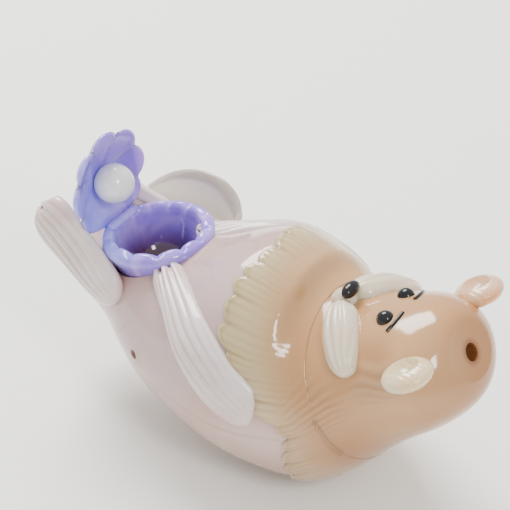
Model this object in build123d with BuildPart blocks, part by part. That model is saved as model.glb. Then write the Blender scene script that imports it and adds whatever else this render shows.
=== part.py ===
"""Hollow lampworked glass otter, lying on its back and holding an open clam shell with a pearl.

The body is a blown hull with a bowl let into it over the hips. The bowl drains through a throat
and a down tube into the chamber. A side vent and a draw hole in the crown open the chamber again.
Every other piece is solid glass, welded to the outside of the hull: nothing moves.

+X points to the crown of the head, -Y is the otter's left side, +Z is up, millimetres.
"""

from build123d import *
from math import cos, radians, sin, sqrt
import os

# ---------------------------------------------------------------- driving dimensions
body_length = 120.0  # rump to crown, without the feet
body_width = 58.5
body_height = 62.5

hull_wall = 3.0  # blown wall, all round
collar_thickness = 1.0  # cream layer over chest and neck
rest_depth = 0.9  # ground off the lowest point, so that the otter stands still

bowl_mouth = 22.4  # clear diameter inside the rim
bowl_rim = 3.8  # width of the rim
bowl_depth = 15.0  # rim to floor, inside
bowl_wall = 3.0
bowl_tilt = 8.0  # degrees, the rim leans towards the tail
bowl_lift = 3.0  # rim above the belly line
bowl_share = 0.213  # place of its middle along the body
waist_share = 0.68  # where the bowl's wall is drawn, as a share of its depth
throat_bore = 6.0

tube_bore = 5.0
tube_wall = 1.5
tube_gap = 4.0  # end of the down tube above the chamber floor

lid_height = 29.0
lid_width = 29.0
lid_wall = 2.6
lid_dish = 5.0  # depth of the lid's hollow
lid_lean = 3.0  # degrees, backwards
lid_lobes = 7
lid_spread = 270.0  # degrees from the first lobe to the last
lobe_radius = 4.6

pearl_diameter = 10.6
pearl_seat = 0.5  # how far the pearl is pressed into the hollow
weld_radius = 1.4
weld_length = 12.0
vent_bore = 2.6
draw_bore = 4.5
vent_share = 0.285  # place along the body, and angle round the spine
vent_angle = 92

ear_diameter = 12.5
ear_thickness = 6.0
ear_cup = 8.0  # diameter of the ball that hollows the ear
ear_cup_depth = 2.6
ear_share = 0.905
ear_angle = 68
ear_stand = 3.2  # middle of the ear above the head
ear_turn = 25.0  # degrees, from straight up towards the tail
eye_diameter = 4.4
eye_sunk = 0.4
eye_share = 0.80  # place along the body, and angle round the spine
eye_angle = 15.5
nose_width = 6.4
nose_depth = 3.6
nose_lift = 3.6  # middle of the nose above the head
pad_width = 8.5  # ribbed jowls beside the nose
pad_thickness = 8.0
chin_diameter = 6.6
nose_share = 0.705  # places along the body, on the belly line
chin_share = 0.685
brow_diameter = 1.0

arm_width = 13.0
arm_thickness = 5.6
foot_length = 34.0
foot_width = 15.0
foot_thickness = 6.0
ankle_share = 0.21  # place along the body, and angle round the spine
ankle_angle = 68
foot_axis = (-0.89, 0.23, 0.39)  # of the left foot; its second number is to the left
foot_side = (0.6, 0, 0.8)  # the way its broad side lies
tail_width = 17.0
tail_thickness = 4.5
tail_drop = 5.0  # root of the tail below the middle of the rump
tail_rise = 20.0  # from the root to the paddle
tail_back = 26.5  # from the hips to the outside of the curl, backwards
tail_out = 22.5  # and sideways

# ---------------------------------------------------------------- the hull
# Rings across the spine, from rump to crown: place along the body, height of the spine,
# half width and half height, as shares of the body's length, height, width and height.
rings = [
    (0.06, 0.575, 0.17, 0.150),  # rump
    (0.21, 0.550, 0.32, 0.282),  # hips, under the bowl
    (0.34, 0.503, 0.44, 0.385),
    (0.47, 0.508, 0.50, 0.492),  # belly
    (0.58, 0.490, 0.50, 0.485),  # chest
    (0.67, 0.510, 0.46, 0.435),
    (0.74, 0.580, 0.382, 0.331),  # neck
    (0.82, 0.675, 0.315, 0.268),
    (0.895, 0.775, 0.304, 0.229),  # head
]
cap_share = 0.8  # length of a rounded end, as a share of its ring's half height
seam_angle = 30  # degrees round each section, where its first arc starts
cap_steps = (0.6, 0.9)  # rings on each rounded end, as shares of its length


def along(share):
    """Place on the X axis, with the middle of the body at zero."""
    return (share - 0.5) * body_length


def headings_of(points):
    """Direction of travel at each point, from the point before to the point after."""
    last = len(points) - 1
    return [
        (points[min(index + 1, last)] - points[max(index - 1, 0)]).normalized()
        for index in range(last + 1)
    ]


spine_points = [Vector(along(place), 0, height * body_height) for place, height, _, _ in rings]
spine_headings = headings_of(spine_points)


def spine_at(x):
    """Point of the spine straight above or below x, on the polyline between the rings."""
    for before, after in zip(spine_points, spine_points[1:]):
        if x <= after.X:
            break
    return before + (after - before) * ((x - before.X) / (after.X - before.X))


def ring_plane(point, heading):
    """Plane across the body, with its own X towards the belly line and its own Y to the left."""
    return Plane(origin=point, x_dir=heading.cross(Vector(0, 1, 0)), z_dir=heading)


def oval(plane, half_width, half_height):
    """Ellipse of three arcs, whose ends tell a loft how the sections line up."""
    with BuildSketch(plane) as section:
        with BuildLine():
            for start in (seam_angle, seam_angle + 120, seam_angle + 240):
                EllipticalCenterArc((0, 0), half_width, half_height, start, arc_size=120)
        make_face()
    return section.sketch


def hull(inset):
    """Loft the body's outer form, moved inwards by inset."""
    half_widths = [width * body_width - inset for _, _, width, _ in rings]
    half_heights = [height * body_height - inset for _, _, _, height in rings]
    sections = []
    for step in reversed(cap_steps):
        reach = cap_share * rings[0][3] * body_height - inset
        shrink = sqrt(1 - step**2)
        point = spine_points[0] - spine_headings[0] * reach * step
        sections.append((point, spine_headings[0], half_widths[0] * shrink, half_heights[0] * shrink))
    for section in zip(spine_points, spine_headings, half_widths, half_heights):
        sections.append(section)
    for step in cap_steps:
        reach = cap_share * rings[-1][3] * body_height - inset
        shrink = sqrt(1 - step**2)
        point = spine_points[-1] + spine_headings[-1] * reach * step
        sections.append((point, spine_headings[-1], half_widths[-1] * shrink, half_heights[-1] * shrink))
    loft([
        oval(ring_plane(point, heading), half_height, half_width)
        for point, heading, half_width, half_height in sections
    ])


with BuildPart() as skin_form:  # outside of the belly, and the seat of every limb
    hull(0)

with BuildPart() as fur_form:  # outside of the cream layer and of the head
    hull(-collar_thickness)

with BuildPart() as chamber_form:
    hull(hull_wall)


def on_form(form, x, angle):
    """Point and outward normal at an angle round the spine, from the belly line to the left."""
    ray = Axis(spine_at(x), (0, -sin(radians(angle)), cos(radians(angle))))
    return form.part.find_intersection_points(ray)[-1]


lowest = min(point[0].Z for point in
             (on_form(skin_form, along(step / 100), 180) for step in range(45, 70)))
floor_z = lowest + rest_depth
big = 3 * body_length  # reach of a cutting form, past everything that it cuts

# ---------------------------------------------------------------- bowl, throat and down tube
bowl_radius = bowl_mouth / 2 + bowl_rim
bowl_x = along(bowl_share)
bowl_seat, _ = on_form(skin_form, bowl_x, 0)
bowl_plane = Plane(
    origin=bowl_seat + Vector(0, 0, bowl_lift),
    x_dir=(cos(radians(bowl_tilt)), 0, sin(radians(bowl_tilt))),
    z_dir=(-sin(radians(bowl_tilt)), 0, cos(radians(bowl_tilt))),
)
bowl_section = Plane(origin=bowl_plane.origin, x_dir=bowl_plane.x_dir, z_dir=-bowl_plane.y_dir)
throat_radius = throat_bore / 2
outer_depth = bowl_depth + bowl_wall

with BuildPart() as bowl_form:  # outside of the bowl, as one plug
    with BuildSketch(bowl_section):
        with BuildLine():
            Line((0, 0), (bowl_radius - bowl_rim / 2, 0))
            ThreePointArc(
                (bowl_radius - bowl_rim / 2, 0),
                (bowl_radius, -bowl_rim / 2),
                (bowl_radius - bowl_rim / 4, -bowl_rim),
            )
            Spline(
                (bowl_radius - bowl_rim / 4, -bowl_rim),
                (bowl_radius * 0.72, -outer_depth * waist_share),
                (throat_radius + bowl_wall, -outer_depth),
            )
            Line((throat_radius + bowl_wall, -outer_depth), (0, -outer_depth))
            Line((0, -outer_depth), (0, 0))
        make_face()
    revolve(axis=Axis(bowl_plane.origin, bowl_plane.z_dir))

with BuildPart() as shell_bowl:
    add(bowl_form.part)
    with BuildSketch(bowl_section):
        with BuildLine():
            Line((0, 0), (bowl_mouth / 2 + bowl_rim / 4, 0))
            ThreePointArc(
                (bowl_mouth / 2 + bowl_rim / 4, 0),
                (bowl_mouth / 2, -bowl_rim / 4),
                (bowl_mouth / 2, -bowl_rim / 2),
            )
            Spline(
                (bowl_mouth / 2, -bowl_rim / 2),
                (bowl_mouth / 2 * 0.75, -bowl_depth * waist_share),
                (throat_radius, -bowl_depth),
            )
            Line((throat_radius, -bowl_depth), (throat_radius, -outer_depth))
            Line((throat_radius, -outer_depth), (0, -outer_depth))
            Line((0, -outer_depth), (0, 0))
        make_face()
    revolve(axis=Axis(bowl_plane.origin, bowl_plane.z_dir), mode=Mode.SUBTRACT)

tube_top = bowl_plane.origin - bowl_plane.z_dir * outer_depth
chamber_floor, _ = on_form(chamber_form, tube_top.X, 180)
tube_length = tube_top.Z - chamber_floor.Z - tube_gap

with BuildPart() as dip_tube:
    with BuildSketch(Plane(origin=tube_top, x_dir=bowl_plane.x_dir, z_dir=-bowl_plane.z_dir)):
        Circle(tube_bore / 2 + tube_wall)
        Circle(tube_bore / 2, mode=Mode.SUBTRACT)
    extrude(amount=tube_length)

# ---------------------------------------------------------------- body, head and collar
neck_ring = 6  # index of the ring at the neck
neck_plane = ring_plane(spine_points[neck_ring], spine_headings[neck_ring])
crown = spine_points[-1]
crown_heading = spine_headings[-1]
vent_seat, vent_normal = on_form(skin_form, along(vent_share), vent_angle)

bib_top, bib_flank, bib_back = along(0.51), along(0.70), along(0.68)  # edge of the cream layer

with BuildPart() as bib_form:  # everything in front of that edge
    with BuildSketch(Plane.XZ):
        with BuildLine():
            Polyline((bib_top, big), (bib_top, body_height), (bib_flank, body_height / 2),
                     (bib_back, 0), (bib_back, -big), (big, -big), (big, big), close=True)
        make_face()
    extrude(amount=big, both=True)

with BuildPart() as body_shell:
    add(skin_form.part)
    add(chamber_form.part, mode=Mode.SUBTRACT)
    split(bisect_by=neck_plane, keep=Keep.BOTTOM)
    add(bowl_form.part, mode=Mode.SUBTRACT)
    with BuildSketch(Plane(origin=vent_seat, z_dir=vent_normal)):
        Circle(vent_bore / 2)
    extrude(amount=2 * hull_wall, both=True, mode=Mode.SUBTRACT)
    split(bisect_by=Plane.XY.offset(floor_z), keep=Keep.TOP)

with BuildPart() as head_shell:
    add(fur_form.part)
    add(chamber_form.part, mode=Mode.SUBTRACT)
    split(bisect_by=neck_plane, keep=Keep.TOP)
    with BuildSketch(Plane(origin=crown, z_dir=crown_heading)):
        Circle(draw_bore / 2)
    extrude(amount=body_length, mode=Mode.SUBTRACT)

with BuildPart() as fur_collar:
    add(fur_form.part)
    add(skin_form.part, mode=Mode.SUBTRACT)
    split(bisect_by=neck_plane, keep=Keep.BOTTOM)
    add(bib_form.part, mode=Mode.INTERSECT)
    split(bisect_by=Plane.XY.offset(floor_z), keep=Keep.TOP)

# ---------------------------------------------------------------- lid, weld and pearl
# The lid stands on the rear rim of the bowl; its plane's own X runs across, its Y up.
lid_foot = bowl_plane.origin + bowl_plane.x_dir * -(bowl_radius - lid_wall)
lid_up = Vector(-sin(radians(lid_lean)), 0, cos(radians(lid_lean)))
lid_front = Vector(cos(radians(lid_lean)), 0, sin(radians(lid_lean)))
lid_centre = lid_foot + lid_up * (lid_height / 2 - bowl_rim)
lid_plane = Plane(origin=lid_centre, x_dir=(0, 1, 0), z_dir=lid_front)
lobe_out = lid_width / 2 - lobe_radius
lobe_up = lid_height / 2 - lobe_radius
dish_radius = ((lid_width / 2)**2 + lid_dish**2) / (2 * lid_dish)  # sphere of the hollow
dish_centre = lid_centre + lid_front * (dish_radius - lid_dish)

with BuildPart() as shell_lid:
    with BuildSketch(lid_plane):
        Ellipse(lobe_out, lobe_up)
        for lobe in range(lid_lobes):
            turn = radians(lid_spread * (lobe / (lid_lobes - 1) - 0.5) + 90)
            with Locations((lobe_out * cos(turn), lobe_up * sin(turn))):
                Circle(lobe_radius)
    extrude(amount=2 * lid_dish, both=True)
    with Locations(dish_centre):
        Sphere(dish_radius + lid_wall, mode=Mode.INTERSECT)
        Sphere(dish_radius, mode=Mode.SUBTRACT)
    split(bisect_by=lid_plane, keep=Keep.BOTTOM)
    add(bowl_form.part, mode=Mode.SUBTRACT)

pearl_centre = lid_centre - lid_front * (lid_dish - pearl_diameter / 2 + pearl_seat)

with BuildPart() as pearl:
    with Locations(pearl_centre):
        Sphere(pearl_diameter / 2)
    add(shell_lid.part, mode=Mode.SUBTRACT)

with BuildPart() as lid_weld:  # bead along the hinge line, in the corner of bowl and lid
    with Locations(Plane(origin=lid_foot + lid_front * weld_radius, z_dir=(0, 1, 0))):
        Cylinder(weld_radius, weld_length)
    fillet(lid_weld.edges(), radius=weld_radius * 0.9)
    add(bowl_form.part, mode=Mode.SUBTRACT)
    add(shell_lid.part, mode=Mode.SUBTRACT)
    add(skin_form.part, mode=Mode.SUBTRACT)

# ---------------------------------------------------------------- flippers and tail


def flipper(points, sides, half_widths, half_thicks):
    """Loft a flipper along points, with its width lying along sides."""
    faces = []
    for point, heading, side, half_width, half_thick in zip(
        points, headings_of(points), sides, half_widths, half_thicks
    ):
        across = side - heading * side.dot(heading)
        section = Plane(origin=point, x_dir=across, z_dir=heading)
        faces.append(oval(section, half_width, half_thick))
    loft(faces)


def hugging(form, route, width, thickness):
    """Loft a flipper that lies on a form; route holds (share of length, angle, fullness)."""
    hits = [on_form(form, along(share), angle) for share, angle, _ in route]
    points = [point for point, _ in hits]
    headings = headings_of(points)
    sides = [heading.cross(normal) for heading, (_, normal) in zip(headings, hits)]
    widths = [width / 2 * fullness for _, _, fullness in route]
    thicks = [thickness / 2 * sqrt(fullness) for _, _, fullness in route]
    flipper(points, sides, widths, thicks)


# From the paw on the rim of the bowl, down the flank to the shoulder.
arm_route = [(0.285, 25, 0.4), (0.31, 30, 0.65), (0.37, 43, 0.75), (0.45, 59, 1.0),
             (0.53, 71, 1.0), (0.59, 78, 0.9), (0.615, 80, 0.5)]
right_arm_raise = 6  # degrees, the right arm lies higher on its flank


def arm(hand):
    """One arm; hand is 1 for the left side and -1 for the right."""
    raised = 0 if hand > 0 else right_arm_raise
    route = [(share, hand * (angle - raised), fullness) for share, angle, fullness in arm_route]
    hugging(skin_form, route, arm_width, arm_thickness)
    for seat in (skin_form, bowl_form, fur_collar):
        add(seat.part, mode=Mode.SUBTRACT)


with BuildPart() as left_arm:
    arm(1)

with BuildPart() as right_arm:
    arm(-1)

# The foot starts at the ankle on the hips and stands out behind the body, broad side outwards:
# share of its length, and fullness.
foot_shape = [(0, 0.35), (0.1, 0.7), (0.3, 0.85), (0.55, 0.9), (0.8, 1.0), (0.93, 0.85), (1, 0.4)]


def foot(hand):
    """One hind flipper."""
    ankle, _ = on_form(skin_form, along(ankle_share), hand * ankle_angle)
    back, left, up = foot_axis
    heading = Vector(back, hand * left, up).normalized()
    flipper(
        [ankle + heading * foot_length * reach for reach, _ in foot_shape],
        [Vector(*foot_side)] * len(foot_shape),
        [foot_width / 2 * fullness for _, fullness in foot_shape],
        [foot_thickness / 2 * sqrt(fullness) for _, fullness in foot_shape],
    )
    for seat in (skin_form, bowl_form, shell_lid):
        add(seat.part, mode=Mode.SUBTRACT)


with BuildPart() as left_foot:
    foot(1)

with BuildPart() as right_foot:
    foot(-1)

# The tail leaves the rump and curls round the right flank: turn in degrees from straight back,
# rise from the rump's height to the paddle's, and fullness.
rump = spine_points[0]
tail_turns = [(0, 0, 0.45), (20, 0.1, 0.6), (50, 0.45, 0.8), (80, 0.9, 1.0), (102, 1.0, 0.95),
              (118, 0.9, 0.45)]
hips_x = along(ankle_share)

with BuildPart() as tail:
    flipper(
        [
            Vector(
                hips_x - tail_back * cos(radians(turn)),
                tail_out * sin(radians(turn)),
                rump.Z - tail_drop + tail_rise * rise,
            )
            for turn, rise, _ in tail_turns
        ],
        [Vector(0, 0, 1)] * len(tail_turns),
        [tail_width / 2 * fullness for _, _, fullness in tail_turns],
        [tail_thickness / 2 * sqrt(fullness) for _, _, fullness in tail_turns],
    )
    for seat in (skin_form, right_foot, right_arm):
        add(seat.part, mode=Mode.SUBTRACT)

# ---------------------------------------------------------------- face
jowl_route = [(0.69, 6, 0.5), (0.705, 14, 0.9), (0.73, 30, 1.0), (0.76, 48, 0.85), (0.785, 60, 0.45)]

nose_seat, nose_normal = on_form(fur_form, along(nose_share), 0)
nose_up = Vector(nose_normal.X, 0, nose_normal.Z).normalized()
nose_plane = Plane(origin=nose_seat + nose_up * nose_lift, x_dir=(0, 1, 0), z_dir=nose_up)

with BuildPart() as nose:
    with BuildSketch(nose_plane) as half_nose:
        Ellipse(nose_width / 2, nose_depth / 2)
        split(bisect_by=Plane.XZ, keep=Keep.TOP)
    revolve(half_nose.sketch, axis=Axis(nose_plane.origin, nose_plane.x_dir))


def muzzle_pad(hand):
    """One jowl, from beside the nose down the cheek."""
    route = [(share, hand * angle, fullness) for share, angle, fullness in jowl_route]
    hugging(fur_form, route, pad_width, pad_thickness)
    add(fur_form.part, mode=Mode.SUBTRACT)
    add(nose.part, mode=Mode.SUBTRACT)


with BuildPart() as left_muzzle_pad:
    muzzle_pad(1)

with BuildPart() as right_muzzle_pad:
    muzzle_pad(-1)

chin_seat, _ = on_form(fur_form, along(chin_share), 0)

with BuildPart() as chin:
    with Locations(chin_seat):
        Sphere(chin_diameter / 2)
    for seat in (fur_form, nose, left_muzzle_pad, right_muzzle_pad):
        add(seat.part, mode=Mode.SUBTRACT)


def bead(diameter, share, angle, sunk):
    """Ball of glass pressed on to the head."""
    seat, normal = on_form(fur_form, along(share), angle)
    with Locations(seat - normal * sunk):
        Sphere(diameter / 2)
    add(fur_form.part, mode=Mode.SUBTRACT)


with BuildPart() as left_eye:
    bead(eye_diameter, eye_share, eye_angle, eye_sunk)

with BuildPart() as right_eye:
    bead(eye_diameter, eye_share, -eye_angle, eye_sunk)

brow_route = [(0.822, 28), (0.828, 18), (0.829, 9)]


def brow(hand):
    """Thin stringer laid over one eye."""
    points = [on_form(fur_form, along(share), hand * angle)[0] for share, angle in brow_route]
    line = Edge.make_spline(points)
    with BuildSketch(Plane(origin=line @ 0, z_dir=line % 0)) as end:
        Circle(brow_diameter / 2)
    sweep(end.sketch, path=line)
    add(fur_form.part, mode=Mode.SUBTRACT)


with BuildPart() as left_brow:
    brow(1)

with BuildPart() as right_brow:
    brow(-1)

ear_facing = Vector(-sin(radians(ear_turn)), 0, cos(radians(ear_turn)))
ear_along = ear_facing.cross(Vector(0, 1, 0))


def ear(hand):
    """Round ear with a cup pressed into its front."""
    seat, normal = on_form(fur_form, along(ear_share), hand * ear_angle)
    centre = seat + normal * ear_stand
    section = Plane(origin=centre, x_dir=ear_along, z_dir=ear_facing.cross(ear_along))
    with BuildSketch(section) as half:
        Ellipse(ear_diameter / 2, ear_thickness / 2)
        with Locations((0, -(ear_cup / 2 + ear_thickness / 2 - ear_cup_depth))):
            Circle(ear_cup / 2, mode=Mode.SUBTRACT)
        split(bisect_by=Plane.YZ, keep=Keep.TOP)
    revolve(half.sketch, axis=Axis(centre, ear_facing))
    add(fur_form.part, mode=Mode.SUBTRACT)


with BuildPart() as left_ear:
    ear(1)

with BuildPart() as right_ear:
    ear(-1)

# ---------------------------------------------------------------- hand over
pieces = {
    "body_shell": body_shell,
    "head_shell": head_shell,
    "fur_collar": fur_collar,
    "shell_bowl": shell_bowl,
    "dip_tube": dip_tube,
    "shell_lid": shell_lid,
    "lid_weld": lid_weld,
    "pearl": pearl,
    "left_arm": left_arm,
    "right_arm": right_arm,
    "left_foot": left_foot,
    "right_foot": right_foot,
    "tail": tail,
    "left_muzzle_pad": left_muzzle_pad,
    "right_muzzle_pad": right_muzzle_pad,
    "chin": chin,
    "nose": nose,
    "left_eye": left_eye,
    "right_eye": right_eye,
    "left_brow": left_brow,
    "right_brow": right_brow,
    "left_ear": left_ear,
    "right_ear": right_ear,
}

# The origin is the middle of the finished piece, on the surface that it rests on.
extent = Compound([piece.part for piece in pieces.values()]).bounding_box()
to_origin = Location((-extent.center().X, -extent.center().Y, -floor_z))
print("moved to the origin by", to_origin.position)

os.makedirs("parts", exist_ok=True)
for name, piece in pieces.items():
    piece.part.move(to_origin)
    piece.part.label = name
    export_step(piece.part, f"parts/{name}.step")
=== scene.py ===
import bpy
import bmesh
import math
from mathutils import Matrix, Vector
from mathutils.bvhtree import BVHTree


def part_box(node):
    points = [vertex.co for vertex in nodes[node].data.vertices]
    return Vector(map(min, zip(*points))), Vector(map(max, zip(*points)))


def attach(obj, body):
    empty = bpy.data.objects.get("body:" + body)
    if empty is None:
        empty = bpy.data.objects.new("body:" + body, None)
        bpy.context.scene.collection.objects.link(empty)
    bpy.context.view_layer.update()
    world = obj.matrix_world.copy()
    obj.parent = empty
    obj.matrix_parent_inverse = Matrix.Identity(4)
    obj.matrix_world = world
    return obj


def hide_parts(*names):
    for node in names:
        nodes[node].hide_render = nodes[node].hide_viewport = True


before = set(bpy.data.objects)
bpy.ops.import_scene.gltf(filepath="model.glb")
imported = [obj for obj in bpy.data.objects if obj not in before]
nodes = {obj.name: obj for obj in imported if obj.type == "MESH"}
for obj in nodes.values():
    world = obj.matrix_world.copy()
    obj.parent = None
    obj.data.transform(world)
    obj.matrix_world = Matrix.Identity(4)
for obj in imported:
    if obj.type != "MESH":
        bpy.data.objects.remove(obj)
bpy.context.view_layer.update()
print("frame loaded:", len(nodes), "pieces")

millimetre = 0.001
neckHeading = (0.868, 0.497)  # the way the neck points, in x and z
spinePoints = [  # hull's middle line in millimetres: x, height, half width, half height
    (-50.1, 34.9, 9.9, 9.4), (-32.1, 33.3, 18.7, 17.6), (-16.5, 30.4, 25.7, 24.1),
    (-0.9, 30.7, 29.2, 30.7), (12.3, 29.5, 29.2, 30.3), (23.1, 30.8, 26.9, 27.2),
    (31.5, 35.2, 22.3, 20.7), (41.1, 41.1, 18.4, 16.7), (50.1, 47.3, 17.8, 14.3),
]


# small tools for shapes, all in millimetres
def mix(a, b, t):
    return a + (b - a) * t


def ease(t):
    t = min(max(t, 0.0), 1.0)
    return t * t * (3 - 2 * t)


def between(stops, x):
    # value at x on a smooth line through (place, value) stops
    if x <= stops[0][0]:
        return stops[0][1]
    for (x0, a), (x1, b) in zip(stops, stops[1:]):
        if x <= x1:
            return mix(a, b, ease((x - x0) / (x1 - x0)))
    return stops[-1][1]


def curveAt(points, t):
    # point at t, from 0 to 1, on a smooth curve through the points
    last = len(points) - 1
    place = min(max(t, 0.0), 1.0) * last
    i = min(int(place), last - 1)
    f = place - i
    p0, p1, p2, p3 = (points[min(max(i + k, 0), last)] for k in (-1, 0, 1, 2))
    return 0.5 * (2 * p1 + (p2 - p0) * f + (2 * p0 - 5 * p1 + 4 * p2 - p3) * f * f
                  + (3 * p1 - p0 - 3 * p2 + p3) * f ** 3)


def treeOf(*names):
    bm = bmesh.new()
    for name in names:
        bm.from_mesh(nodes[name].data)
    bmesh.ops.scale(bm, vec=(1 / millimetre,) * 3, verts=bm.verts)
    tree = BVHTree.FromBMesh(bm)
    bm.free()
    return tree


farOut = 60  # rays start here, clear of every piece
mergeGap = 0.01  # poles and seams closer than this are one
skinTree = treeOf("body_shell")
coatTree = treeOf("fur_collar", "head_shell")


def spineAt(x):
    for (x0, z0, *_), (x1, z1, *_) in zip(spinePoints, spinePoints[1:]):
        if x <= x1:
            break
    return Vector((x, 0, z0 + (z1 - z0) * (x - x0) / (x1 - x0)))


def hullAt(x, angle):
    # point of the hull as it was before the bowl was let into it
    halfWidth = between([(place, wide) for place, _, wide, _ in spinePoints], x)
    halfHeight = between([(place, high) for place, _, _, high in spinePoints], x)
    turn = math.radians(angle)
    reach = 1 / math.hypot(math.sin(turn) / halfWidth, math.cos(turn) / halfHeight)
    return spineAt(x) + Vector((0, -math.sin(turn), math.cos(turn))) * reach


def seatOn(tree, x, angle):
    # point and outward normal on a surface, at an angle from the belly line to the left
    turn = math.radians(angle)
    out = Vector((0, -math.sin(turn), math.cos(turn)))
    point, normal, _, _ = tree.ray_cast(spineAt(x) + out * farOut, -out, farOut)
    if point is None:
        return None, out
    if normal.dot(out) < 0:
        normal = -normal
    return point, normal


def wrapped(name, around, lengthwise, place):
    # a grid laid over a form: place gives each (u, v) its point and its groove, from 0 to 1
    bm = bmesh.new()
    bmesh.ops.create_grid(bm, x_segments=around, y_segments=lengthwise, size=0.5)
    groove = bm.verts.layers.float.new("groove")
    for vert in bm.verts:
        point, depth = place(vert.co.x + 0.5, vert.co.y + 0.5)
        vert.co = point
        vert[groove] = depth
    bmesh.ops.remove_doubles(bm, verts=bm.verts, dist=mergeGap)
    bmesh.ops.recalc_face_normals(bm, faces=bm.faces)
    return finishMesh(name, bm)


def finishMesh(name, bm):
    bmesh.ops.scale(bm, vec=(millimetre,) * 3, verts=bm.verts)
    for face in bm.faces:
        face.smooth = True
    mesh = bpy.data.meshes.new(name)
    bm.to_mesh(mesh)
    bm.free()
    piece = bpy.data.objects.new(name, mesh)
    bpy.context.scene.collection.objects.link(piece)
    return piece


def hand(piece, material, slotName, *replaced):
    # finish a piece: its material, and the frame's pieces that it stands for
    piece.data.materials.clear()
    piece.data.materials.append(material)
    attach(piece, "root")
    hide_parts(*replaced)


# small tools for materials
class Value:
    # a shader socket that can be used in sums

    def __init__(self, glass, socket):
        self.glass, self.socket = glass, socket

    def maths(self, operation, first, second):
        return self.glass.node("ShaderNodeMath", {"operation": operation}, {0: first, 1: second})

    def __add__(self, other):
        return self.maths("ADD", self, other)

    def __radd__(self, other):
        return self.maths("ADD", other, self)

    def __sub__(self, other):
        return self.maths("SUBTRACT", self, other)

    def __rsub__(self, other):
        return self.maths("SUBTRACT", other, self)

    def __mul__(self, other):
        return self.maths("MULTIPLY", self, other)

    def __rmul__(self, other):
        return self.maths("MULTIPLY", other, self)


class Glass:
    # one lamp-worked glass: a Principled shader and the nodes that vary it

    def __init__(self, name, look):
        self.material = bpy.data.materials.new(name)
        self.material.use_nodes = True
        self.tree = self.material.node_tree
        self.tree.nodes.clear()
        self.shader = self.tree.nodes.new("ShaderNodeBsdfPrincipled")
        output = self.tree.nodes.new("ShaderNodeOutputMaterial")
        self.tree.links.new(self.shader.outputs[0], output.inputs[0])
        for key, value in look.items():
            self.shader.inputs[key].default_value = value
        self.where = self.node("ShaderNodeTexCoord", {}, {}, "Object")

    def node(self, kind, settings, sockets, output=0):
        made = self.tree.nodes.new(kind)
        for key, value in settings.items():
            setattr(made, key, value)
        for key, value in sockets.items():
            if isinstance(value, Value):
                self.tree.links.new(value.socket, made.inputs[key])
            else:
                made.inputs[key].default_value = value
        return Value(self, made.outputs[output])

    def feed(self, **links):
        for key, value in links.items():
            self.tree.links.new(value.socket, self.shader.inputs[key.replace("_", " ")])

    def stretched(self, scale, turn=(0, 0, 0)):
        return self.node("ShaderNodeMapping", {},
                         {"Vector": self.where, "Scale": scale, "Rotation": turn})

    def cloud(self, scale, detail=3.0, stretch=(1, 1, 1), distortion=0.0):
        return self.node("ShaderNodeTexNoise", {}, {
            "Vector": self.stretched(stretch), "Scale": scale, "Detail": detail,
            "Distortion": distortion}, "Fac")

    def combs(self, scale, turn, **more):
        # fine strokes combed side by side
        return self.node("ShaderNodeTexWave", {"wave_type": "BANDS", "bands_direction": "Y"}, {
            "Vector": self.stretched((1, 1, 1), turn), "Scale": scale, **more}, "Fac")

    def band(self, value, low, high):
        # 0 below low, 1 above high, smooth between
        return self.node("ShaderNodeMapRange", {"interpolation_type": "SMOOTHSTEP"},
                         {0: value, 1: low, 2: high, 3: 0.0, 4: 1.0})

    def axis(self, name):
        return self.node("ShaderNodeSeparateXYZ", {}, {0: self.where}, name)

    def spot(self, name, side=1):
        # 1 in the middle of a named mark and 0 outside it; a side of -1 is its mirror image
        (x, y, z), inner, outer = marks[name]
        gap = self.node("ShaderNodeVectorMath", {"operation": "DISTANCE"},
                        {0: self.where, 1: (x, side * y, z)}, "Value")
        return 1 - self.band(gap, inner, outer)

    def blend(self, mask, colourA, colourB):
        given = {0: mask}
        for key, colour in ((6, colourA), (7, colourB)):
            given[key] = colour if isinstance(colour, Value) else (*colour, 1)
        return self.node("ShaderNodeMix", {"data_type": "RGBA"}, given, 2)

    def groove(self):
        return self.node("ShaderNodeAttribute", {"attribute_name": "groove"}, {}, "Fac")

    def bump(self, height, distance, strength=1.0):
        self.feed(Normal=self.node("ShaderNodeBump", {}, {
            "Height": height, "Distance": distance, "Strength": strength}))


def opal(roughness=0.1, body=0.25, coat=0.5, **more):
    look = {"Roughness": roughness, "IOR": 1.5, "Subsurface Weight": body,
            "Subsurface Radius": (1.0, 0.75, 0.6), "Subsurface Scale": 0.004,
            "Coat Weight": coat, "Coat Roughness": 0.04, "Coat IOR": 1.5}
    look.update(more)
    return look


# glass colours, linear, and where in metres one runs into the next
lilacLook = dict(base=(0.52, 0.37, 0.36), pink=(0.55, 0.32, 0.25), pale=(0.68, 0.56, 0.56),
                 shade=(0.35, 0.19, 0.12), shadeHeights=(0.004, 0.030))
coatLook = dict(cream=(0.53, 0.42, 0.22), pale=(0.64, 0.51, 0.33), tan=(0.33, 0.16, 0.055),
                peach=(0.48, 0.25, 0.11), stroke=(0.25, 0.14, 0.05), throat=(0.36, 0.16, 0.07),
                tanHeights=(0.010, 0.034), peachFrom=(0.006, 0.034), neckFrom=(0.034, 0.0450))
headLook = dict(peach=(0.46, 0.21, 0.075), tan=(0.30, 0.115, 0.035), cream=(0.56, 0.32, 0.15),
                hollowShade=(0.16, 0.04, 0.006), tanHeights=(0.018, 0.042), crownFrom=(0.045, 0.062))
limbLook = dict(white=(0.72, 0.63, 0.62), pink=(0.56, 0.31, 0.24), deepShade=(0.24, 0.09, 0.05),
                cream=(0.70, 0.60, 0.46))
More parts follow.
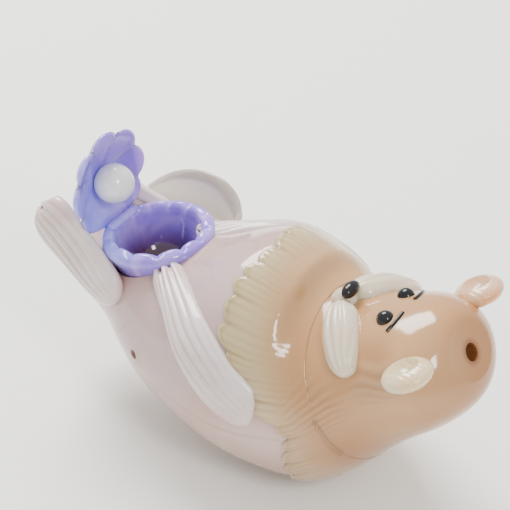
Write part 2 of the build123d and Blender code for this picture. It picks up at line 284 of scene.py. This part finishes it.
lavenderLook = dict(base=(0.25, 0.16, 0.70), blue=(0.30, 0.33, 0.98), lilac=(0.50, 0.34, 0.86),
                    bowlShade=(0.055, 0.008, 0.035), groove=(0.20, 0.14, 0.48),
                    bowlShadeHeights=(0.0405, 0.0515))
tailLook = dict(rim=(0.74, 0.65, 0.56), core=(0.84, 0.80, 0.74), haze=(0.60, 0.50, 0.42),
                coreFrom=(0.040, 0.050), coreTo=(0.053, 0.0585))
pearlLook = dict(grey=(0.72, 0.74, 0.74), white=(0.84, 0.86, 0.88))
blackLook = dict(black=(0.004, 0.004, 0.005), speck=(0.014, 0.013, 0.015))
earLook = dict(near=(0.74, 0.57, 0.33), far=(0.68, 0.27, 0.07), haze=(0.74, 0.62, 0.48),
               farFrom=(-0.008, 0.008))
clearLook = dict(haze=(0.86, 0.84, 0.86), clear=(0.93, 0.92, 0.94))
marks = dict(  # coloured spots: middle, full out to here, gone from here on
    vent=((-0.0232, -0.0254, 0.0304), 0.0012, 0.0052),
    drawHole=((0.0588, 0.0003, 0.0535), 0.0018, 0.0042),
    eyeHollow=((0.0335, 0.0058, 0.0605), 0.0010, 0.0042),
    upperCheek=((0.0425, 0.0145, 0.051), 0.003, 0.011),
    lowerCheek=((0.030, 0.022, 0.038), 0.003, 0.011),
    throat=((0.020, -0.010, 0.053), 0.003, 0.013),
)


def bodyMaterial():
    glass = Glass("bodyGlass", opal(0.12, 0.2, 0.25))
    wisps = glass.cloud(38, 4, (0.35, 1, 1), 0.6)
    haze = glass.cloud(14, 2)
    low = 1 - glass.band(glass.axis("Z"), *lilacLook["shadeHeights"])
    colour = glass.blend(glass.band(haze, 0.42, 0.62), lilacLook["base"], lilacLook["pink"])
    colour = glass.blend(glass.band(wisps, 0.5, 0.72) * 0.6, colour, lilacLook["pale"])
    colour = glass.blend(low * 0.75, colour, lilacLook["shade"])
    colour = glass.blend(glass.spot("vent") * 0.55, colour, lilacLook["shade"])
    scratches = glass.band(glass.cloud(60, 6, (0.12, 1, 1), 1.2), 0.62, 0.66)
    colour = glass.blend(scratches * 0.3, colour, lilacLook["shade"])
    web = glass.cloud(26, 5, (1, 0.4, 1), 2.0)
    veins = glass.band(web, 0.485, 0.5) * (1 - glass.band(web, 0.5, 0.515))
    colour = glass.blend(veins * 0.28, colour, lilacLook["pink"])
    glass.feed(Base_Color=colour, Roughness=0.09 + wisps * 0.08)
    glass.bump(haze * 0.7 + wisps * 0.3, 0.0008, 0.6)
    return glass.material


def coatMaterial(name, forHead):
    glass = Glass(name, opal(0.1, 0.22, 0.25))
    x, z = glass.axis("X"), glass.axis("Z")
    haze = glass.cloud(16, 2)
    wisps = glass.cloud(45, 4, (0.3, 1, 1), 0.8)
    # peach head, tan below and at the crown, painted shade in the hollows by the eyes and in the
    # draw hole
    colour = glass.blend(glass.band(haze, 0.4, 0.65), headLook["peach"], headLook["cream"])
    under = 1 - glass.band(z, *headLook["tanHeights"])
    colour = glass.blend(under * 0.7, colour, headLook["tan"])
    crown = glass.band(x, *headLook["crownFrom"])
    colour = glass.blend(crown * 0.35, colour, headLook["tan"])
    for side in (-1, 1):
        # painted shade in the eye hollows and the draw hole
        colour = glass.blend(glass.spot("eyeHollow", side) * 0.7, colour, headLook["hollowShade"])
    colour = glass.blend(glass.spot("drawHole") * 0.8, colour, headLook["hollowShade"])
    combs = glass.combs(240, (0.9, 0.0, 0.35), **{
        "Distortion": 2.5, "Detail": 1.0, "Detail Scale": 0.6})
    cheeks = sum(glass.spot(cheek, side) for side in (-1, 1)
                 for cheek in ("upperCheek", "lowerCheek"))
    colour = glass.blend(cheeks * 0.3, colour, headLook["cream"])
    colour = glass.blend((1 - combs) * cheeks * 0.4, colour, headLook["tan"])
    if not forHead:
        # cream chest that runs into the head's colour at the neck
        chest = glass.blend(glass.band(haze, 0.4, 0.62), coatLook["cream"], coatLook["pale"])
        peach = glass.band(x, *coatLook["peachFrom"])
        chest = glass.blend(peach * 0.6, chest, coatLook["peach"])
        low = 1 - glass.band(z, *coatLook["tanHeights"])
        chest = glass.blend(low * 0.4, chest, coatLook["tan"])
        # painted shade on the throat, under the overhanging muzzle
        chest = glass.blend(glass.spot("throat") * 0.45, chest, coatLook["throat"])
        # painted shade in the combed grooves, between the lobes and along the curl by the edge
        chest = glass.blend(glass.groove() * 0.6, chest, coatLook["stroke"])
        toNeck = x * neckHeading[0] + z * neckHeading[1]
        colour = glass.blend(glass.band(toNeck, *coatLook["neckFrom"]), chest, colour)
    glass.feed(Base_Color=colour, Roughness=0.08 + wisps * 0.1)
    glass.bump(haze * 0.5 + combs * cheeks * 0.3, 0.0009, 0.6)
    return glass.material


def limbMaterial(name, shade):
    glass = Glass(name, opal(0.16, 0.25, 0.2))
    haze = glass.cloud(34, 3, (1, 1, 1), 0.5)
    colour = glass.blend(glass.band(haze, 0.45, 0.7) * 0.55, limbLook[shade], limbLook["pink"])
    groove = glass.groove()
    # pink in the grooves, partly the glass's own pink and partly painted shade; painted shade
    # deepest in them and between the toes
    colour = glass.blend(glass.band(groove, 0.2, 0.8) * 0.75, colour, limbLook["pink"])
    colour = glass.blend(glass.band(groove, 0.8, 1.0) * 0.45, colour, limbLook["deepShade"])
    glass.feed(Base_Color=colour, Roughness=0.12 + haze * 0.12)
    glass.bump(haze, 0.0005, 0.5)
    return glass.material


def lavenderMaterial(name, forBowl):
    glass = Glass(name, opal(0.06, 0.25, 0.4))
    swirl = glass.cloud(55, 3, (1, 1, 0.5), 1.4)
    patch = glass.cloud(22, 2)
    colour = glass.blend(glass.band(swirl, 0.42, 0.66), lavenderLook["base"], lavenderLook["lilac"])
    colour = glass.blend(glass.band(patch, 0.45, 0.7) * 0.8, colour, lavenderLook["blue"])
    if forBowl:
        # painted shade, darker down into the bowl
        deepShade = 1 - glass.band(glass.axis("Z"), *lavenderLook["bowlShadeHeights"])
        colour = glass.blend(deepShade, colour, lavenderLook["bowlShade"])
    else:
        # painted shade in the lid's flutes
        colour = glass.blend(glass.groove() * 0.6, colour, lavenderLook["groove"])
    glass.feed(Base_Color=colour, Roughness=0.05 + swirl * 0.06)
    glass.bump(patch, 0.0006, 0.4)
    return glass.material


def tailMaterial():
    glass = Glass("tailGlass", opal(0.1, 0.15, 0.5, **{"Transmission Weight": 0.5}))
    z = glass.axis("Z")
    haze = glass.cloud(30, 3, (1, 1, 2), 0.6)
    core = glass.band(z, *tailLook["coreFrom"]) * (1 - glass.band(z, *tailLook["coreTo"]))
    colour = glass.blend(core * 0.8, tailLook["rim"], tailLook["core"])
    colour = glass.blend(glass.band(haze, 0.5, 0.7) * 0.4, colour, tailLook["haze"])
    glass.feed(Base_Color=colour, Roughness=0.08 + haze * 0.12)
    glass.bump(haze, 0.0005, 0.4)
    return glass.material


def pearlMaterial():
    glass = Glass("pearlGlass", opal(0.14, 0.5, 0.6))
    cloudy = glass.cloud(120, 4, (1, 1, 1), 0.8)
    colour = glass.blend(glass.band(cloudy, 0.4, 0.65), pearlLook["grey"], pearlLook["white"])
    glass.feed(Base_Color=colour, Roughness=0.12 + cloudy * 0.1)
    glass.bump(cloudy, 0.0002, 0.4)
    return glass.material


def blackMaterial():
    glass = Glass("blackGlass", opal(0.05, 0.0, 0.15, **{"Specular IOR Level": 0.3}))
    specks = glass.cloud(300, 2)
    colour = glass.blend(specks, blackLook["black"], blackLook["speck"])
    glass.feed(Base_Color=colour, Roughness=0.04 + specks * 0.05)
    return glass.material


def earMaterial():
    glass = Glass("earGlass", opal(0.14, 0.35, 0.4))
    haze = glass.cloud(70, 3)
    # painted shade: the far ear is coloured darker than the near one
    far = glass.band(glass.axis("Y"), *earLook["farFrom"])
    colour = glass.blend(far * 0.9, earLook["near"], earLook["far"])
    colour = glass.blend(glass.band(haze, 0.45, 0.7) * 0.5, colour, earLook["haze"])
    combs = glass.combs(260, (0, 0, 0.2), Distortion=1.5)
    glass.feed(Base_Color=colour, Roughness=0.12 + haze * 0.1)
    glass.bump(combs, 0.00014, 0.5)
    return glass.material


def clearMaterial():
    glass = Glass("clearGlass", opal(0.04, 0.0, 0.3, **{"Transmission Weight": 0.9}))
    haze = glass.cloud(50, 2)
    glass.feed(Base_Color=glass.blend(haze, clearLook["haze"], clearLook["clear"]))
    return glass.material


limbGlass = limbMaterial("limbGlass", "white")
jowlGlass = limbMaterial("jowlGlass", "cream")
headGlass = coatMaterial("headGlass", forHead=True)
lidGlass = lavenderMaterial("lidGlass", forBowl=False)
blackGlass = blackMaterial()
earGlass = earMaterial()
print("glass mixed")

# pieces that keep the frame's own shape and get a new glass
kept = {
    "body_shell": bodyMaterial(), "head_shell": headGlass, "dip_tube": clearMaterial(),
    "lid_weld": lidGlass, "pearl": pearlMaterial(), "tail": tailMaterial(), "chin": jowlGlass,
    "nose": blackGlass, "left_eye": blackGlass, "right_eye": blackGlass,
    "left_brow": blackGlass, "right_brow": blackGlass,
    "left_ear": earGlass, "right_ear": earGlass,
}
for name, material in kept.items():
    node = nodes[name]
    node.data.materials.clear()
    node.data.materials.append(material)

# cream collar: lobes along its edge, and fine strokes combed through it
collar = dict(
    thickness=1.0, backing=0.9, grid=(560, 80),
    edge=[(0, 5.5), (25, 3.5), (45, 4.5), (75, 17.0), (95, 26.0), (125, 25.0), (180, 24.0)],
    roundOver=1.1, sunk=0.06, coatStep=2.5, offFloor=0.03,
    lobes=34, lobeWander=0.004, lobeReach=2.0, lobeRise=0.45, lobeFade=4, seamFade=3,
    strokesPerLobe=3, strokeDepth=0.12, combed=10.0, curlAt=1.6, curlWidth=0.5,
    neck=(31.5, 35.2), neckFade=6, neckTries=6, neckStep=0.8,
)
neckPlaces = {}


def neckAt(angle):
    # x where the collar's end plane crosses the skin at this angle
    key = round(angle, 3)
    if key not in neckPlaces:
        neckX, neckZ = collar["neck"]
        x = neckX
        for _ in range(collar["neckTries"]):
            point, _ = seatOn(coatTree, x, angle)
            if point is None:
                break
            onPlane = neckX - (point.z - neckZ) * neckHeading[1] / neckHeading[0]
            x = mix(x, onPlane, collar["neckStep"])
        neckPlaces[key] = x
    return neckPlaces[key]


def collarPoint(u, v):
    angle = 360 * u - 180
    phase = (u + collar["lobeWander"] * math.sin(9 * math.tau * u)) * collar["lobes"]
    lobe = abs(math.sin(math.pi * phase)) ** 0.6
    start = between(collar["edge"], abs(angle)) - collar["lobeReach"] * lobe
    end = neckAt(angle)
    x = mix(start, end, v * (0.4 + 0.6 * v))  # rows crowd towards the fringe
    fromEdge, toNeck = x - start, end - x
    point, normal = seatOn(skinTree, x, angle)
    coat, coatNormal = seatOn(coatTree, x, angle)
    spine = spineAt(x)
    if point is None or (coat is not None and (coat - spine).length
                         > (point - spine).length + collar["coatStep"]):
        point, normal = coat - coatNormal * collar["thickness"], coatNormal
    fade = ease(toNeck / collar["neckFade"])
    roll = min(fromEdge / collar["roundOver"], 1.0)
    lift = collar["thickness"] * math.sqrt(1 - (1 - roll) ** 2)
    rise = collar["lobeRise"] * (lobe - 0.5) * math.exp(-fromEdge / collar["lobeFade"])
    lift += rise * roll * fade
    stroke = (0.5 + 0.5 * math.cos(math.tau * phase * collar["strokesPerLobe"])) ** 2
    wander = 0.5 + 0.5 * math.sin(angle * 0.19 + x * 0.35)
    depth = stroke * math.exp(-fromEdge / collar["combed"]) * roll * fade * (0.35 + 0.65 * wander)
    lift -= collar["strokeDepth"] * depth
    seam = (1 - lobe) * math.exp(-fromEdge / collar["seamFade"])
    place = point + normal * (lift - collar["sunk"])
    place.z = max(place.z, collar["offFloor"])
    curl = math.exp(-((fromEdge - collar["curlAt"]) / collar["curlWidth"]) ** 2) * lobe
    # the second value marks painted shade: comb grooves, seams between lobes and the curl line
    return place, min(1.0, 0.7 * depth + 0.9 * seam * fade + 0.5 * curl) * ease(place.z / 3)


furCollar = wrapped("furCollar", *collar["grid"], collarPoint)
backing = furCollar.modifiers.new("backing", "SOLIDIFY")
backing.thickness, backing.offset = collar["backing"] * millimetre, -1
hand(furCollar, coatMaterial("coatGlass", forHead=False), "cream_glass", "fur_collar")
print("collar combed:", len(furCollar.data.polygons), "faces")

# bowl: a blown cup with a thick rolled rim, pressed in all round
bowlLow, bowlHigh = (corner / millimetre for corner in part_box("shell_bowl"))
bowl = dict(
    topToMiddle=1.82, tilt=8.0, grid=(300, 120),
    rimRadius=12.6, rimWidth=1.5, dents=13, dentDepth=0.55, dentBulge=0.5, wobble=0.12,
    profile=[(13.1, 0.0), (14.5, -0.6), (15.0, -1.9), (14.7, -3.2), (13.2, -6.4), (10.8, -12.2),
             (8.4, -15.6), (6.0, -18.0), (4.5, -18.1), (3.0, -18.0), (3.0, -15.4), (5.2, -13.6),
             (8.0, -10.8), (9.8, -7.0), (10.9, -3.8), (11.2, -1.9), (11.6, -0.6), (12.3, -0.05),
             (13.1, 0.0)],
)
bowlMiddle = Vector((mix(bowlLow.x, bowlHigh.x, 0.5), mix(bowlLow.y, bowlHigh.y, 0.5),
                     bowlHigh.z - bowl["topToMiddle"]))
bowlProfile = [Vector((r, 0, z)) for r, z in bowl["profile"]]
tilt = math.radians(bowl["tilt"])


def bowlPoint(u, v):
    turn = math.tau * u
    spot = curveAt(bowlProfile, v)
    onRim = math.exp(-((spot.x - bowl["rimRadius"]) / bowl["rimWidth"]) ** 2)
    onRim *= ease((spot.z + 4) / 3)
    dent = abs(math.sin(turn * bowl["dents"] / 2 + 0.35 * math.sin(3 * turn))) ** 0.5
    r = spot.x + onRim * (bowl["dentBulge"] * (1 - dent)
                          + bowl["wobble"] * math.sin(5 * turn + 1))
    z = spot.z - onRim * bowl["dentDepth"] * (1 - dent) * 2 + 0.25 * onRim * dent
    x, y = r * math.cos(turn), r * math.sin(turn)
    place = bowlMiddle + Vector((x * math.cos(tilt) - z * math.sin(tilt), y,
                                 x * math.sin(tilt) + z * math.cos(tilt)))
    return place, onRim * (1 - dent)


shellBowl = wrapped("shellBowl", *bowl["grid"], bowlPoint)
hand(shellBowl, lavenderMaterial("bowlGlass", forBowl=True), "lavender_glass", "shell_bowl")
print("bowl blown")

# lid: the other half of the clam, standing open behind the bowl
lidLow, lidHigh = (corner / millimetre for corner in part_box("shell_lid"))
lid = dict(
    frontToMiddle=0.6, topToMiddle=14.48, lean=3.0, grid=(288, 100),
    halfWidth=14.6, halfHeight=14.5, dish=5.0, wall=2.6, lip=2.8,
    lobes=8, notch=0.15, heel=0.86, flute=1.3, fluteFront=0.8, fluteBack=0.65,
)
lidMiddle = Vector((lidHigh.x - lid["frontToMiddle"], mix(lidLow.y, lidHigh.y, 0.5),
                    lidHigh.z - lid["topToMiddle"]))
lean = math.radians(lid["lean"])


def lidPoint(u, v):
    turn = math.tau * u
    back = v > 0.5
    out = (1 - v) * 2 if back else v * 2  # 0 in the middle, 1 at the lip
    upper = ease((math.sin(turn) + 0.85) / 0.5)
    lobe = abs(math.cos(lid["lobes"] / 2 * (turn - math.pi / 2))) ** 0.6
    reach = 1 - lid["notch"] * (1 - lobe) * upper * out ** 2
    reach *= mix(lid["heel"], 1.0, ease((math.sin(turn) + 1.0) / 0.35))
    y = lid["halfWidth"] * out * reach * math.cos(turn)
    up = lid["halfHeight"] * out * reach * math.sin(turn)
    depth = -lid["dish"] * (1 - out ** 2)
    thick = mix(lid["wall"], lid["lip"], out ** 2)
    lipRound = math.sqrt(max(0.0, 1 - out ** 10))
    flute = lid["flute"] * (1 - lobe) * upper * out ** 1.5
    middleLine = depth - thick / 2
    if back:
        front = middleLine - thick / 2 * lipRound + flute * lid["fluteBack"]
    else:
        front = middleLine + thick / 2 * lipRound - flute * lid["fluteFront"]
    place = lidMiddle + Vector((front * math.cos(lean) - up * math.sin(lean), y,
                                front * math.sin(lean) + up * math.cos(lean)))
    return place, flute * ease(out * 1.4)


shellLid = wrapped("shellLid", *lid["grid"], lidPoint)
hand(shellLid, lidGlass, "lavender_glass", "shell_lid")
print("lid pressed")


# limbs: ribbed paddles that hug the hull or stand out from it
combing = dict(
    grid=(112, 150), endPower=7, wander=0.10,
    calm=0.6, calmAt=0.45, calmReach=0.5,  # ribs are shallow except this far from the toes
    toeReach=0.22, toeFade=0.2, toeDepth=3.2, toePush=1.6, underToes=0.3,
    deepest=0.7, grooveFull=2.2,
)


def paddle(name, points, sides, widths, thicks, form, toes, toeEnd):
    # closed paddle along points, with toes cut into the end where t is toeEnd
    ribs, ribDepth = form["ribs"], form["ribDepth"]

    def place(u, v):
        t = 0.5 - 0.5 * math.cos(math.pi * v)
        middle = curveAt(points, t)
        heading = (curveAt(points, t + 0.01) - curveAt(points, t - 0.01)).normalized()
        side = curveAt(sides, t)
        side = (side - heading * side.dot(heading)).normalized()
        outward = side.cross(heading).normalized()
        turn = math.tau * u
        across = math.cos(turn)
        shut = math.sqrt(max(0.0, 1 - abs(2 * t - 1) ** combing["endPower"]))
        half, thick = curveAt(widths, t) * shut, curveAt(thicks, t) * shut
        fromToes = abs(t - toeEnd)
        spread = across + combing["wander"] * math.sin(7 * t + 2 * across)
        rib = (0.5 - 0.5 * math.cos(math.pi * spread * ribs)) ** 1.5
        fromCalm = abs(fromToes - combing["calmAt"])
        comb = ribDepth * rib * (1 - combing["calm"] * ease(fromCalm / combing["calmReach"]))
        toe = (0.5 - 0.5 * math.cos(math.pi * across * toes)) ** 2
        split = ease((combing["toeReach"] - fromToes) / combing["toeFade"])
        cut = comb * combing["underToes"] + toe * ribDepth * combing["toeDepth"]
        depth = mix(comb, cut, split)
        skinSide = abs(math.sin(turn)) ** 0.7
        sink = thick - min(depth, thick * combing["deepest"]) * skinSide
        push = toe * split * combing["toePush"]
        middle = middle - heading * (push if toeEnd > 0.5 else -push)
        point = middle + side * half * across + outward * sink * math.sin(turn)
        return point, min(1.0, depth / (ribDepth * combing["grooveFull"]))

    return wrapped(name, *combing["grid"], place)


def hugging(name, tree, side, form, raised, toes, toeEnd):
    # paddle that follows its form's route over a surface, on the left or right side
    route = [(x, side * (angle - raised), full) for x, angle, full in form["route"]]
    hits = [seatOn(tree, x, angle) for x, angle, _ in route]
    points = [point or hullAt(x, angle) for (point, _), (x, angle, _) in zip(hits, route)]
    sides = []
    for i, (_, normal) in enumerate(hits):
        heading = points[min(i + 1, len(points) - 1)] - points[max(i - 1, 0)]
        sides.append(normal.cross(heading).normalized())
    widths = [form["width"] / 2 * full for _, _, full in route]
    thicks = [form["thickness"] / 2 * math.sqrt(full) for _, _, full in route]
    return paddle(name, points, sides, widths, thicks, form, toes, toeEnd)


# each route lists x, degrees from the belly line, and the share of the full width
arm = dict(width=13.4, thickness=6.2, ribs=6, ribDepth=0.6, toes=3, rightRaise=6,
           route=[(-23.6, 24, 0.52), (-20.1, 30, 0.66), (-12.9, 43, 0.74), (-3.3, 59, 0.98),
                  (6.3, 71, 1.0), (13.5, 78, 0.95), (17.0, 80.5, 0.72)])
for side, label in ((1, "left"), (-1, "right")):
    raised = arm["rightRaise"] if side < 0 else 0
    piece = hugging(label + "Arm", skinTree, side, arm, raised, arm["toes"], toeEnd=0.0)
    hand(piece, limbGlass, "limb_glass", label + "_arm")

foot = dict(length=34.5, width=16.5, thickness=7.2, ribs=6, ribDepth=0.75, toes=3,
            ankle=(-32.1, 68), axis=(-0.89, 0.23, 0.39), flat=(0.6, 0, 0.8),
            # share of the length, share of the full width
            shape=[(0, 0.35), (0.1, 0.7), (0.3, 0.85), (0.55, 0.9), (0.8, 1.0), (0.93, 0.85),
                   (1, 0.45)])
for side, label in ((1, "left"), (-1, "right")):
    ankle, _ = seatOn(skinTree, foot["ankle"][0], side * foot["ankle"][1])
    axis = Vector((foot["axis"][0], side * foot["axis"][1], foot["axis"][2])).normalized()
    points = [ankle + axis * foot["length"] * reach for reach, _ in foot["shape"]]
    widths = [foot["width"] / 2 * full for _, full in foot["shape"]]
    thicks = [foot["thickness"] / 2 * math.sqrt(full) for _, full in foot["shape"]]
    piece = paddle(label + "Foot", points, [Vector(foot["flat"])] * len(points), widths, thicks,
                   foot, foot["toes"], toeEnd=1.0)
    hand(piece, limbGlass, "limb_glass", label + "_foot")

jowl = dict(width=9.4, thickness=8.4, ribs=4, ribDepth=0.6, toes=0,
            route=[(25.5, 6, 0.5), (27.3, 14, 0.9), (30.3, 30, 1.0), (33.9, 48, 0.85),
                   (36.9, 60, 0.5)])
for side, label in ((1, "left"), (-1, "right")):
    piece = hugging(label + "MuzzlePad", coatTree, side, jowl, 0, jowl["toes"], toeEnd=1.0)
    hand(piece, jowlGlass, "cream_glass", label + "_muzzle_pad")
print("limbs and jowls combed")

# studio
studio = dict(
    camera=(0.1653, -0.2550, 0.2914), target=(0.0284, -0.0451, 0.0987), lens=108.8, sensor=36,
    floor=(0.93, 0.92, 0.88), floorSize=3.0, grain=1.02,
    sky=(0.94, 0.97, 0.96), skyStrength=1.15,
    window=dict(place=(-0.45, 0.35, 0.75), aim=(0, 0, 0.03), size=(0.5, 0.4), power=15.0,
                colour=(1, 0.99, 0.97)),
    front=dict(place=(0.55, -0.25, 0.60), aim=(0.02, 0, 0.03), size=(0.14, 0.24), power=3.0,
               colour=(1, 0.96, 0.94)),
)
bm = bmesh.new()
bmesh.ops.create_grid(bm, x_segments=2, y_segments=2, size=studio["floorSize"])
mesh = bpy.data.meshes.new("floor")
bm.to_mesh(mesh)
bm.free()
floor = bpy.data.objects.new("floor", mesh)
bpy.context.scene.collection.objects.link(floor)
paper = Glass("paper", {"Roughness": 0.6, "Specular IOR Level": 0.3})
brighter = [channel * studio["grain"] for channel in studio["floor"]]
paper.feed(Base_Color=paper.blend(paper.cloud(9, 3), studio["floor"], brighter))
floor.data.materials.append(paper.material)

world = bpy.data.worlds.new("studio")
bpy.context.scene.world = world
world.use_nodes = True
background = world.node_tree.nodes["Background"]
background.inputs[0].default_value = (*studio["sky"], 1)
background.inputs[1].default_value = studio["skyStrength"]


def softbox(name, place, aim, size, power, colour):
    light = bpy.data.lights.new(name, "AREA")
    light.shape, light.size, light.size_y = "RECTANGLE", size[0], size[1]
    light.energy, light.color = power, colour
    lamp = bpy.data.objects.new(name, light)
    lamp.location = place
    lamp.rotation_euler = (Vector(aim) - Vector(place)).to_track_quat("-Z", "Y").to_euler()
    bpy.context.scene.collection.objects.link(lamp)


for name in ("window", "front"):
    softbox(name, **studio[name])

camera = bpy.data.objects.new("camera", bpy.data.cameras.new("camera"))
camera.data.lens = studio["lens"]
camera.data.sensor_width = studio["sensor"]
camera.location = studio["camera"]
sight = Vector(studio["target"]) - Vector(studio["camera"])
camera.rotation_euler = sight.to_track_quat("-Z", "Y").to_euler()
bpy.context.scene.collection.objects.link(camera)
bpy.context.scene.camera = camera
print("studio lit")
